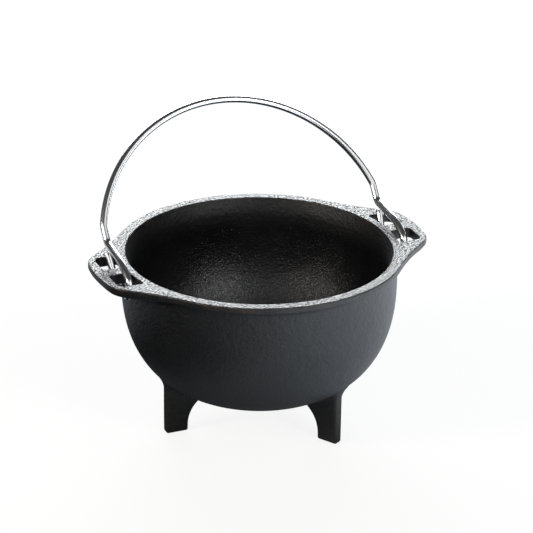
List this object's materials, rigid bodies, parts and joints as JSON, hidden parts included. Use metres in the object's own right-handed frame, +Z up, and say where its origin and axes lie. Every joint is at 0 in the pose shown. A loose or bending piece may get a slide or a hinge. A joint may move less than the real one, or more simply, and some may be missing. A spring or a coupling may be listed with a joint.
{
  "type": "cast iron kettle",
  "caption": "Small open cast iron kettle with a round bowl, flat slotted ears, short fin-like feet and a hooked wire bail that swings over the mouth.",
  "frame": {"origin": "on the table, under the middle of the bowl", "axes": "+Z up, +X from ear to ear away from the single foot, +Y towards the side that the bail leans back to"},
  "size_m": [0.149, 0.1248, 0.1319],
  "materials": {
    "iron": "seasoned black iron with a satin, finely pebbled skin",
    "bail_wire": "bright drawn stainless wire, smooth and glossy"
  },
  "bodies": {
    "pot": {"kettle_casting": "iron"},
    "bail": {"bail_handle": "bail_wire"}
  },
  "joints": [
    {"name": "bail_swing", "type": "hinge", "parent": "pot", "child": "bail", "pos_m": [0, 0, 0.0778], "axis": [1, 0, 0], "range_deg": [0, 134]}
  ]
}
